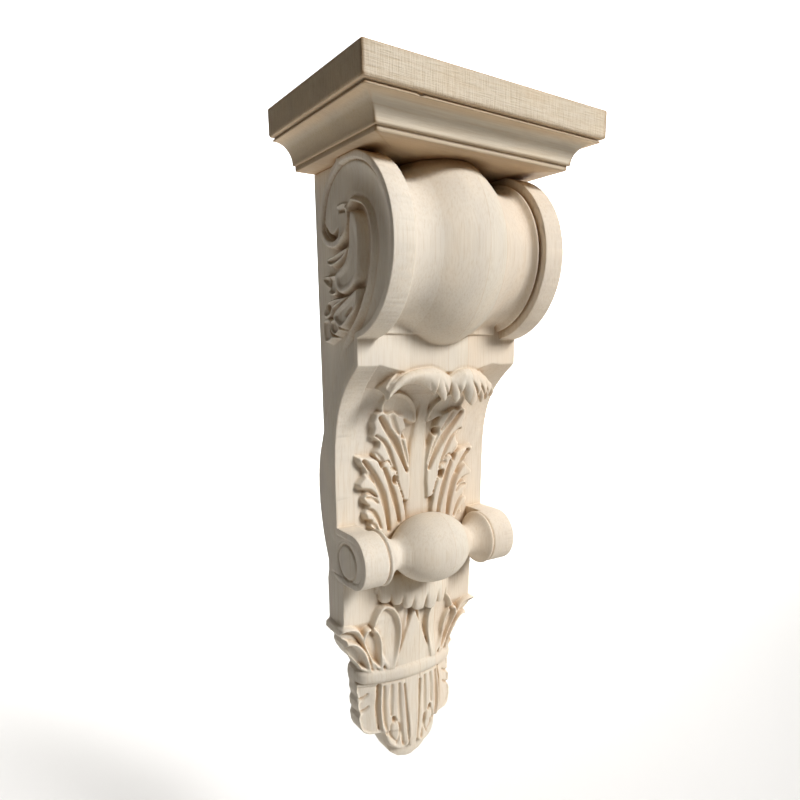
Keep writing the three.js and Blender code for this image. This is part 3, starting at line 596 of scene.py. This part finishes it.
# The ledge and the hollow panel with its leaves, cut from the same block: the panel's ground is
# gouged back, and the leaves on both sides of a broad midrib are left standing, each lobe a
# hollow between two sharp rims. Small eyes are drilled between them.
front_relief = np.zeros((len(across), len(drop)), np.float32)
UPPER_LEAF = [(-9, 296), (-22, 292), (-34, 262), (-41, 255), (-43, 251), (-39, 247), (-38, 242),
              (-42, 241), (-45, 237.5), (-44, 231), (-46, 226), (-44, 219), (-40, 217.5), (-35, 219.5),
              (-29, 218), (-24, 221), (-19, 223), (-16, 229), (-13, 241), (-9, 257), (-8, 280)]
UPPER_FLUTES = [
    ([(-39.5, 222.5), (-31.5, 233.5), (-23.4, 244.4), (-16.4, 257.5), (-11, 269.7)],
     (2.4, 3.7, 1.4), 5.2),
    ([(-42, 237), (-33.8, 243), (-28.2, 253), (-22, 268)], (1.4, 2.2, 1.0), 3.4),
    ([(-30, 222), (-26, 230), (-21, 237)], (2.6, 2.8, 1.0), 2.4),
    ([(-48, 238.6), (-44, 239.2), (-40, 241)], (1.6, 1.5, 0.7), 4.0),
    ([(-44, 249), (-37, 256), (-31, 267)], (1.2, 1.8, 0.8), 2.2),
    ([(-18.5, 240), (-13.3, 254), (-10, 265)], (0.9, 1.3, 0.8), 2.4),
]
LOWER_LEAF = [(-12, 318), (-13, 305), (-16, 290), (-20, 279), (-22, 268), (-26, 264), (-30, 258.5),
              (-34, 260), (-36, 265), (-39, 258), (-44, 255), (-51, 254.5), (-58, 253), (-55, 259),
              (-51, 263), (-51, 270), (-57, 276), (-55, 280), (-49, 283), (-53, 288), (-51, 292),
              (-48, 294), (-52, 301), (-50, 306), (-46, 307), (-47, 313), (-41, 317), (-36, 323),
              (-29, 327), (-20, 334)]
LOWER_FLUTES = [
    ([(-52, 257), (-46, 265), (-40.3, 275), (-35.5, 286), (-31.8, 301), (-29.5, 318)],
     (2.2, 3.4, 1.6), 5.2),
    ([(-33.5, 265), (-29.4, 275), (-25.5, 287), (-21.8, 300), (-19.6, 312)], (1.8, 2.8, 1.6), 4.4),
    ([(-27.5, 265), (-24, 267)], (1.2, 1.6, 1.0), 2.6),
    ([(-52, 266), (-46.5, 270), (-41.6, 277)], (2.4, 2.2, 0.9), 4.2),
    ([(-54, 281.5), (-47, 283), (-41, 287.5)], (2.6, 2.6, 1.0), 4.6),
    ([(-50, 287.4), (-44.5, 288.6), (-39.8, 293)], (1.2, 1.8, 0.9), 3.0),
    ([(-52, 297.5), (-45.5, 299), (-40.5, 306), (-37, 315)], (2.0, 2.0, 0.9), 3.4),
    ([(-48, 309), (-43, 312), (-39, 319)], (1.6, 1.7, 0.8), 2.8),
]
TURNED_EDGE = curve([(-38, 222), (-41, 213), (-38, 205), (-32, 202), (-25, 203), (-17, 207),
                     (-10, 213), (-6, 221), (-5, 229), (-11, 228), (-20, 224), (-30, 223),
                     (-38, 222)], 50)
PANEL_EYES = [[(-16.4, 235.5), (-15.6, 239.5)], [(-23.8, 273.5), (-23.0, 277.5)]]


def mirrored(points, side):
    """Points drawn on the left half, kept there or turned over to the right one"""
    return [(side * -a, b) for a, b in points]


for side in (-1, 1):
    for outline, flutes, rise in ((UPPER_LEAF, UPPER_FLUTES, 6.8), (LOWER_LEAF, LOWER_FLUTES, 7.6)):
        leaf_part = np.zeros_like(front_relief)
        leaflet(leaf_part, FRONT, mirrored(outline, side), rise, lip=2.4)
        for spine, widths, depth in flutes:
            gouge(leaf_part, FRONT, mirrored(spine, side), widths, depth)
        front_relief = np.where(leaf_part > 0.6, leaf_part, front_relief)
    leaf_part = np.zeros_like(front_relief)
    leaflet(leaf_part, FRONT, mirrored(TURNED_EDGE, side), 5.0, 2.6, 1.6, (side * 14, 226), 10)
    front_relief = np.maximum(front_relief, leaf_part)

MIDRIB_X = 1.5
MIDRIB_RISE = 3.8
MIDRIB_HALF = [(215, 4.5), (240, 7.5), (268, 11.0), (284, 11.8), (306, 12.4), (330, 14.0)]
rib_place = np.abs(across - MIDRIB_X)[:, None] / read_off(MIDRIB_HALF, drop)[None, :]
midrib = MIDRIB_RISE * np.clip(1 - rib_place ** 4, 0, 1) ** 0.5 * soft_step((drop[None, :] - 205) / 20)
front_relief = np.maximum(front_relief, midrib * (drop[None, :] < 345))
for side in (-1, 1):
    for hole in PANEL_EYES:
        gouge(front_relief, FRONT, mirrored(hole, side), (2.2, 2.7, 2.2), 9.0)

FOOT_LINE = [(-74, 181), (-66, 180), (-58, 179.6), (-50, 181.5), (-40, 184), (-30, 186), (30, 186),
             (40, 183), (50, 180.5), (60, 181.5), (74, 181)]
PANEL_TOP = 145
BELLY_FILLET = 9.0
ledge_foot = read_off(FOOT_LINE, across)[:, None]
panel = panel_reach(drop[None, :], ledge_foot) + sanded(front_relief)
cells, x, r, d = room(WIDE, (DEEP[0], 90), (PANEL_TOP, 358))
join(cells, np.maximum(r - panel[cells[0], None, cells[2]], PANEL_TOP - d))
cells, x, r, d = room((-50, 50), (30, 90), (PANEL_TOP, 158))
join(cells, np.maximum(r - panel[cells[0], None, cells[2]], PANEL_TOP - d), BELLY_FILLET)

# The hood: a leaf tip that curls out of the ledge and hangs over the panel. It is carved in the
# same block and hollowed behind with a bent gouge, so that its toothed hem is thin.
HOOD_HALF = 49
HOOD_REACH = 74.5
CREASE_REACH = 78.4
HOOD_TOP = [(-49, 200), (-44, 193), (-38, 188), (-31, 185), (-23, 183), (-9, 182), (-1, 184.5),
            (7, 189), (11, 186.5), (16, 184), (24, 183), (32, 184.5), (40, 189), (46, 195), (49, 201)]
HOOD_HEM = [(-49, 207), (-45, 202), (-38, 196.5), (-32, 194.5), (-24, 195), (-18, 197), (-11, 201),
            (-8.5, 204), (-7.5, 199), (-3, 205), (1, 209.5), (4.5, 206), (6.5, 199), (9, 206.5),
            (12, 211), (16, 207), (18, 201), (22, 209), (27, 214), (31.5, 210.5), (33.5, 205),
            (35.5, 210), (37, 212), (39, 208.5), (40, 204.5), (42, 210), (44.5, 207), (45.6, 203),
            (49, 208)]
NOTCHES = [-7, 6.6, 18.2, 33.4, 39.8, 45.2, 50]


def along_x(table):
    """A value for each place across, from a table of places and values"""
    return read_off(table, across).astype(np.float32)[:, None, None]


cells, x, r, d = room((-HOOD_HALF, HOOD_HALF), (30, 100), (176, 216))
hem, top = along_x(HOOD_HEM)[cells[0]], along_x(HOOD_TOP)[cells[0]]
fall = np.clip((d - top) / (hem - top), 0, 1.3)
dome = np.where(x < 7, 1 - ((x + 20) / 31) ** 2, 1 - ((x - 28) / 25) ** 2)
hood_swell = 3.0 + 8.5 * np.clip(dome, 0, 1) ** 0.7
hood_swell = hood_swell * np.sin(math.pi * np.clip(fall, 0, 1) ** 0.62 * 0.86) ** 0.8
shift = x + 0.62 * (208 - d)
lobe_share = np.zeros_like(shift)
for start, end in zip(NOTCHES, NOTCHES[1:]):
    inside = (shift >= start) & (shift < end)
    lobe_share = np.where(inside, (shift - start) / (end - start), lobe_share)
finger = np.where(shift > NOTCHES[0], (1 - np.abs(2 * lobe_share - 1) ** 5), 0.75)
finger_fade = soft_step((d - top - 7) / 9) * soft_step((shift - NOTCHES[0] + 1) / 3)
outer = HOOD_REACH + hood_swell + 3.2 * (finger - 0.75) * finger_fade
thick = 2.8 + 16 * np.exp(-np.maximum(d - top + 1, 0) / 4.5)
hood = np.maximum(np.maximum(r - outer, outer - thick - r), (d - hem) * 0.75)
join(cells, np.maximum(hood, top - 2.5 - d))
cells, x, r, d = room((-HOOD_HALF, HOOD_HALF), (70, 84), (176, 206))
crease = np.hypot(r - CREASE_REACH, (d - along_x(HOOD_TOP)[cells[0]] + 0.3) * 0.8) - 1.3
block[cells] = np.maximum(block[cells], -crease)

# The lower roll: a short cylinder at each end, and a ball on thin necks between them. It is
# rounded in the same block where the panel ends, and the ball is sanded smooth.
ROLL_PROFILE = [(0, 29.5), (4, 29.3), (8, 28.7), (12, 27.8), (16, 26.3), (20, 24.3), (24, 21.7),
                (27, 19.3), (29.5, 16.8), (31.5, 14.8), (33.5, 13.2), (35.5, 12.5), (38, 12.9),
                (41, 14.4), (44, 16.9), (46.5, 19.6), (48.5, 22.2), (49.5, 23.1), (50.4, 23.2),
                (51.2, 22.2), (51.8, 20.8), (52.3, 20.9), (53.1, 22.4), (80, 22.5)]
turned = read_off(ROLL_PROFILE, side_x)
cells, x, r, d = room(WIDE, (20, 100), (298, 368))
ball = np.hypot(r - ROLL[0], d - ROLL[1]) - turned[cells[0], None, None]
join(cells, ball)

# The tail: straight under the roll, narrowing to a tie and widening again into the pointed tip.
# It is the foot of the same block, sawn to its outline, and carved in low relief with loops above
# the tie and with leaves and a rib below it.
TAIL_EDGE = [(66, 345), (66, 357), (67, 364), (67, 401), (70.5, 403.5), (71, 408), (67.5, 413),
             (63, 416.5), (64, 422), (62, 428), (57, 436), (51, 443), (48.5, 449), (51, 452),
             (51.5, 458), (51, 464), (50, 467.5), (50.5, 473), (49, 480), (50.5, 484), (50, 491),
             (48.6, 494), (50.3, 499), (49.5, 507), (47, 513), (42, 516), (34, 517), (28, 519),
             (27, 524), (25.5, 532), (20, 543), (12, 550), (4, 552.6)]
tail_outline = outline_distance(TAIL_EDGE + [(-a, b) for a, b in reversed(TAIL_EDGE)], FRONT)
TAIL_DROP = [345, 402, 407, 422, 449, 467, 505, 515, 518, 532, 546, 553]
TAIL_MIDDLE = [30.5, 29, 28.5, 28, 26.5, 25.5, 27.5, 27.5, 27.5, 26.5, 24.5, 22.5]
TAIL_SIDE = [30.5, 27.5, 23.5, 18.5, 14.5, 13.5, 16.5, 16.5, 20.5, 22.5, 22.5, 22]
TAIL_HALF = [67, 67, 66, 62, 48, 47, 47.5, 47.5, 27, 23, 14, 3]


def down_tail(values):
    """A value for each drop, from the values at the tail's stations"""
    return np.interp(drop, TAIL_DROP, values)[None, :]


from_middle = np.clip(side_x[:, None] / down_tail(TAIL_HALF), 0, 1.1) ** 2.2
tail = down_tail(TAIL_MIDDLE) + (down_tail(TAIL_SIDE) - down_tail(TAIL_MIDDLE)) * from_middle

tail_relief = np.zeros_like(tail)
BIG_LOOP = curve([(-27, 452), (-33, 440), (-38, 428), (-44.5, 420), (-43.5, 409), (-41, 399),
                  (-35.5, 390), (-29, 387.5), (-22, 391), (-16.5, 399), (-13.5, 409), (-13, 420),
                  (-15, 434), (-19, 452)], 70)
SECOND_LOOP = curve([(-33, 452), (-40, 444), (-47, 434), (-50, 424), (-50, 413), (-47, 407), (-41, 407),
                     (-35.5, 412), (-32, 422), (-31, 434), (-29, 452)], 60)
OUTER_LOBE = curve([(-36, 453), (-44, 444), (-52, 432), (-62, 421), (-70, 415), (-73.5, 408),
                    (-69.5, 402.5), (-61, 402.5), (-53.5, 407), (-49, 416), (-45, 426), (-40, 438),
                    (-35, 450)], 60)
LOWER_LOOP = curve([(-43, 453), (-52, 447), (-61, 437), (-67, 427), (-66, 420), (-60, 417.5),
                    (-53, 421), (-47, 429), (-43, 438), (-39, 452)], 50)
INNER_LOOP = curve([(-12, 440), (-17, 415), (-21, 398), (-22, 390), (-17, 385), (-10, 388), (-5, 396),
                    (-6, 410), (-12, 440)], 40)
STRIP_LEAF = [(-30, 466), (-52, 466), (-52.5, 473), (-51.5, 479), (-49.6, 481.5), (-52, 485),
              (-51.5, 491), (-49.4, 493.5), (-51.5, 498), (-51, 507), (-48.5, 513), (-41, 517),
              (-30, 519), (-27, 519)]
MAIN_LEAF = curve([(-31, 466), (-33, 480), (-33.5, 494), (-33, 506), (-30.5, 514), (-28, 519),
                   (-26, 527), (-21, 534), (-14, 538), (-7, 537), (-2, 528), (-3, 508), (-6, 486),
                   (-8, 466)], 60)
MAIN_FLUTES = [
    ([(-28, 470), (-29, 490), (-28.5, 506), (-25, 520)], (1.4, 2.2, 1.2), 1.8),
    ([(-21, 470), (-22, 488), (-22, 500)], (1.6, 2.4, 1.0), 1.6),
    ([(-14, 470), (-14, 490), (-13, 512), (-10, 534)], (1.4, 2.4, 1.4), 1.8),
    ([(-20, 505), (-23, 512), (-22, 522), (-17, 529)], (0.6, 1.3, 0.6), 1.8),
    ([(-18, 505), (-14, 513), (-14, 524), (-17, 531)], (0.6, 1.3, 0.6), 1.8),
    ([(-8.5, 472), (-6.5, 500), (-4, 536)], (1.0, 1.6, 0.8), 2.8),
    ([(-32, 468), (-34, 490), (-33, 512)], (1.2, 1.7, 1.2), 3.8),
]
OUTER_FLUTE = [(-68, 407), (-56, 413), (-45, 432), (-40, 448)]
TAIL_EYES = [[(-42.5, 405), (-41.5, 409)], [(-40, 414), (-38.5, 416.5)], [(-20, 503), (-19, 507)]]
STRIP_NOTCHES = [[(-55, 481.5), (-46, 480.5), (-41, 476.5)], [(-55, 493.5), (-46, 492.5), (-41, 488.5)]]
for side in (-1, 1):
    leaflet(tail_relief, FRONT, mirrored(INNER_LOOP, side), 3.0, 1.8, 2.0, (side * 12, 442), 26)
    leaflet(tail_relief, FRONT, mirrored(BIG_LOOP, side), 8.0, 6.0, 2.6, (side * 22, 455), 34)
    leaflet(tail_relief, FRONT, mirrored(SECOND_LOOP, side), 8.0, 7.0, 2.4, (side * 30, 456), 16)
    leaflet(tail_relief, FRONT, mirrored(OUTER_LOBE, side), 7.0, 5.0, 2.2, (side * 36, 456), 20)
    gouge(tail_relief, FRONT, mirrored(OUTER_FLUTE, side), (1.2, 1.6, 1.0), 2.2)
    leaflet(tail_relief, FRONT, mirrored(LOWER_LOOP, side), 8.4, 7.0, 2.6, (side * 40, 456), 14)
    leaflet(tail_relief, FRONT, mirrored(STRIP_LEAF, side), 4.2, 2.2, 1.8, (side * 30, 480), 12)
    leaflet(tail_relief, FRONT, mirrored(MAIN_LEAF, side), 5.4, 1.6, 2.6, (side * 18, 466), 30)
    for spine, widths, depth in MAIN_FLUTES:
        gouge(tail_relief, FRONT, mirrored(spine, side), widths, 1.4 * depth)
    for hole in TAIL_EYES:
        gouge(tail_relief, FRONT, mirrored(hole, side), (1.7, 2.1, 1.5), 6.0)
    for notch in STRIP_NOTCHES:
        gouge(tail_relief, FRONT, mirrored(notch, side), (1.8, 1.6, 0.8), 3.8)
APEX_RISE = 6.2
apex_half = 19.5 * np.clip((drop - 396) / 52, 0, 1)[None, :]
apex = soft_step((apex_half - side_x[:, None]) / 1.0 + 0.5)
tail_relief = np.maximum(tail_relief, APEX_RISE * apex * (drop[None, :] > 397) * (drop[None, :] < 455))
TAIL_RIB_RISE = 5.0
TAIL_RIB_HALF = [(455, 9.5), (540, 4.5)]
tail_rib = soft_step((read_off(TAIL_RIB_HALF, drop)[None, :] - side_x[:, None]) / 1.4)
tail_rib = TAIL_RIB_RISE * tail_rib * (drop[None, :] > 455) * (drop[None, :] < 539)
tail_relief = np.maximum(tail_relief, tail_rib)

TIE_DROP = 458
TIE_HALF = 8.6
TIE_RISE = 9.5
tie_place = (drop[None, :] - TIE_DROP) / TIE_HALF
tie_end = np.clip((side_x[:, None] - 42) / 9.3, 0, 1)
tie = TIE_RISE * np.sqrt(np.clip(1 - np.abs(tie_place) ** 2.6 - tie_end ** 2.4, 0, 1))
tail_relief = np.maximum(tail_relief, tie)

cells, x, r, d = room(WIDE, (DEEP[0], 60), (345, TALL[1]))
tail_face = (tail + sanded(tail_relief))[cells[0], None, cells[2]]
join(cells, np.maximum(r - tail_face, tail_outline[cells[0], None, cells[2]]))

# The leaf tip under the ball: a small scalloped hood that hangs over the loops. It is carved in
# the same block, and a hollow is gouged behind its hem.
TIP_TOP = 362
TIP_REACH = 31
TIP_SWELL = 13.5
SCALLOPS = [(-29, 6, 386), (-19.5, 5.0, 389), (-10, 5.6, 393), (1.5, 7.2, 397), (14.5, 6.8, 398.5),
            (25.5, 5.4, 395.5), (33.5, 3.5, 391)]
cells, x, r, d = room((-37, 37), (20, 60), (360, 402))
tip_hem = np.full(x.shape, 378.0)
scallop = np.zeros_like(x)
for scallop_x, scallop_half, lowest in SCALLOPS:
    off_middle = (x - scallop_x) / scallop_half
    inside = np.abs(off_middle) < 1
    tip_hem = np.where(inside, np.maximum(tip_hem, lowest - 5.5 * off_middle ** 4), tip_hem)
    scallop = np.where(inside, np.maximum(scallop, 1 - np.abs(off_middle) ** 4), scallop)
tip_fall = np.clip((d - TIP_TOP) / (tip_hem - TIP_TOP), 0, 1.2)
round_off = np.sqrt(np.clip(1 - np.abs(x / 38) ** 4, 0, 1))
left_fade = 0.45 + 0.55 * soft_step((x + 26) / 16)
tip_swell = np.sin(math.pi * np.clip(tip_fall, 0, 1) ** 0.7 * 0.8) ** 0.7
tip_outer = TIP_REACH + TIP_SWELL * left_fade * round_off * tip_swell
tip_outer = tip_outer + 3.6 * (scallop - 0.8) * soft_step(tip_fall * 2.6 - 1.3)
tip_thick = 2.6 + 14 * np.exp(-np.maximum(d - (TIP_TOP + 2), 0) / 7)
leaf_tip = np.maximum(np.maximum(r - tip_outer, tip_outer - tip_thick - r), (d - tip_hem) * 0.8)
join(cells, np.maximum(leaf_tip, TIP_TOP - d))

# The last cuts, and the finished wood: the sides are cut back to the ground and the band, the back
# is sawn flat for the wall and the top for the cap. The bracket is sanded and left unfinished, and
# its boards differ a little in tone, with fine glue lines between them.
cells, x, r, d = room(WIDE, DEEP, (TALL[0], 358))
side_width = side_face[None, cells[1], cells[2]]
block[cells] = np.maximum(block[cells], np.abs(x) - side_width)
cells, x, r, d = room((-80, 80), (-5, 140), (0, 600))
block[:] = np.maximum(block, -r)
block[:] = np.maximum(block, CAP_FOOT - d)

grid = openvdb.FloatGrid(AIR)
grid.copyFromArray(np.clip(block, -AIR, AIR))
places, quads = grid.convertToQuads(0.0)
points = np.stack([
    across[0] + places[:, 0] * STEP,
    -(reach[0] + places[:, 1] * STEP),
    MOUNT_DROP - (drop[0] + places[:, 2] * STEP),
], axis=1)
bracket_mesh = bpy.data.meshes.new("carved_bracket")
bracket_mesh.from_pydata((points * MM).tolist(), [], quads.tolist())
bracket = bpy.data.objects.new("carved_bracket", bracket_mesh)
bpy.context.scene.collection.objects.link(bracket)
TRIANGLES = 190000
smooth = bracket.modifiers.new("sanding", "SMOOTH")
smooth.factor = 0.5
smooth.iterations = 2
reduce = bracket.modifiers.new("reduce", "DECIMATE")
reduce.ratio = min(1.0, TRIANGLES / (2 * len(quads)))
bpy.context.view_layer.update()
evaluated = bracket.evaluated_get(bpy.context.evaluated_depsgraph_get())
finished = bpy.data.meshes.new_from_object(evaluated)
bracket.modifiers.clear()
bracket.data = finished
bracket.data.polygons.foreach_set("use_smooth", [True] * len(bracket.data.polygons))
CARVED_TONES = [(0.77, 0.70, 0.60), (0.82, 0.745, 0.63), (0.86, 0.765, 0.63)]
CARVED_STREAKS = (0.91, 0.87, 0.81)
GLUE_LINE = (0.93, 0.88, 0.81)
GLUE_SHARE = 0.001
CARVED_BUMP = 0.07
BOARDS = [(-74.2, (1.0, 1.0, 1.0)), (-29.2, (0.955, 0.94, 0.92)), (5.9, (0.97, 0.965, 0.95)),
          (24.9, (0.985, 0.945, 0.905))]
carved_wood = Wood("carved_wood", CARVED_TONES, CARVED_STREAKS, "z")
sideways = carved_wood.share(carved_wood.place("X"), -BAND_HALF * MM, BAND_HALF * MM)
board_stops = [(max(0.0, (edge + BAND_HALF) / (2 * BAND_HALF)), tone) for edge, tone in BOARDS]
carved_wood.tint(carved_wood.ramp(sideways, board_stops, True))
glue_stops = [(0.0, (1, 1, 1))]
for edge, tone in BOARDS[1:]:
    middle_share = (edge + BAND_HALF) / (2 * BAND_HALF)
    glue_stops += [(middle_share - GLUE_SHARE, GLUE_LINE), (middle_share + GLUE_SHARE, (1, 1, 1))]
carved_wood.tint(carved_wood.ramp(sideways, glue_stops, True))
bracket.data.materials.clear()
bracket.data.materials.append(carved_wood.finish(CARVED_BUMP))
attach(bracket, "root")
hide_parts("bracket")

# The studio: a plain pale floor with a glowing sheet of paper behind it, one lamp high in front
# and to the right, and two lamps that whiten the floor. The camera stands on the left, as the
# photographer's did.
FLOOR = 6.0
FLOOR_Z = cad_box[0].z - 0.25
BACKDROP_TOP = 3


def stage_plane(name, corners, colour, glow):
    """A flat plain sheet of the studio"""
    sheet_mesh = bpy.data.meshes.new(name)
    sheet_mesh.from_pydata(corners, [], [(0, 1, 2, 3)])
    plane = bpy.data.objects.new(name, sheet_mesh)
    bpy.context.scene.collection.objects.link(plane)
    paint = bpy.data.materials.new(name)
    paint.use_nodes = True
    shader = paint.node_tree.nodes["Principled BSDF"]
    shader.inputs["Base Color"].default_value = (*colour, 1)
    shader.inputs["Roughness"].default_value = 0.9
    shader.inputs["Emission Color"].default_value = (1, 1, 1, 1)
    shader.inputs["Emission Strength"].default_value = glow
    sheet_mesh.materials.append(paint)


stage_plane("floor", [(-FLOOR, -FLOOR, FLOOR_Z), (FLOOR, -FLOOR, FLOOR_Z), (FLOOR, FLOOR, FLOOR_Z),
                      (-FLOOR, FLOOR, FLOOR_Z)], (0.8, 0.79, 0.77), 0)
stage_plane("backdrop", [(-1.4, 5.17, FLOOR_Z), (5.2, 0.58, FLOOR_Z), (5.2, 0.58, BACKDROP_TOP),
                         (-1.4, 5.17, BACKDROP_TOP)], (0.9, 0.9, 0.9), 1.0)

world = bpy.data.worlds.new("studio")
world.use_nodes = True
world.node_tree.nodes["Background"].inputs["Color"].default_value = (1, 0.82, 0.6, 1)
world.node_tree.nodes["Background"].inputs["Strength"].default_value = 0.045
bpy.context.scene.world = world
bpy.context.scene.view_settings.view_transform = "Standard"


def soft_light(name, place, aim_at, size, power, colour, spread=180):
    """An area light that faces one place, spread over some degrees"""
    lamp = bpy.data.lights.new(name, "AREA")
    lamp.spread = math.radians(spread)
    lamp.size = size
    lamp.energy = power
    lamp.color = colour
    light = bpy.data.objects.new(name, lamp)
    light.location = place
    aim = Vector(aim_at) - light.location
    light.rotation_euler = aim.to_track_quat("-Z", "Y").to_euler()
    bpy.context.scene.collection.objects.link(light)


soft_light("key", (1.17, -2.82, 1.88), (0, -0.05, -0.16), 1.0, 9.2, (0.985, 0.985, 0.995), 44)
soft_light("floor_right", (2.0, 2.2, 2.5), (2.0, 2.2, FLOOR_Z), 3.6, 92, (1.0, 1.0, 1.0), 90)
soft_light("floor_left", (-0.4, 2.5, 2.5), (-0.4, 2.5, FLOOR_Z), 3.2, 34, (1.0, 1.0, 1.0), 52)

YAW = 0.6213
PITCH = -0.2204
ROLL_TURN = 0.0039
FOCAL_PIXELS = 649.9
CENTRE_X = 446.5
CENTRE_Y = 488
IMAGE = 800
EYE = (-0.2952, -0.4961, 0.0058)
ahead = Vector((math.sin(YAW) * math.cos(PITCH), math.cos(YAW) * math.cos(PITCH), math.sin(PITCH)))
level = Vector((math.cos(YAW), -math.sin(YAW), 0))
upright = level.cross(ahead)
right = level * math.cos(ROLL_TURN) + upright * math.sin(ROLL_TURN)
up = upright * math.cos(ROLL_TURN) - level * math.sin(ROLL_TURN)
lens = bpy.data.cameras.new("view")
lens.sensor_width = 36
lens.lens = lens.sensor_width * FOCAL_PIXELS / IMAGE
lens.shift_x = (IMAGE / 2 - CENTRE_X) / IMAGE
lens.shift_y = (CENTRE_Y - IMAGE / 2) / IMAGE
lens.clip_start = 0.01
camera = bpy.data.objects.new("view", lens)
camera.matrix_world = Matrix((
    (right.x, up.x, -ahead.x, EYE[0]),
    (right.y, up.y, -ahead.y, EYE[1]),
    (right.z, up.z, -ahead.z, EYE[2]),
    (0, 0, 0, 1),
))
bpy.context.scene.collection.objects.link(camera)
bpy.context.scene.camera = camera
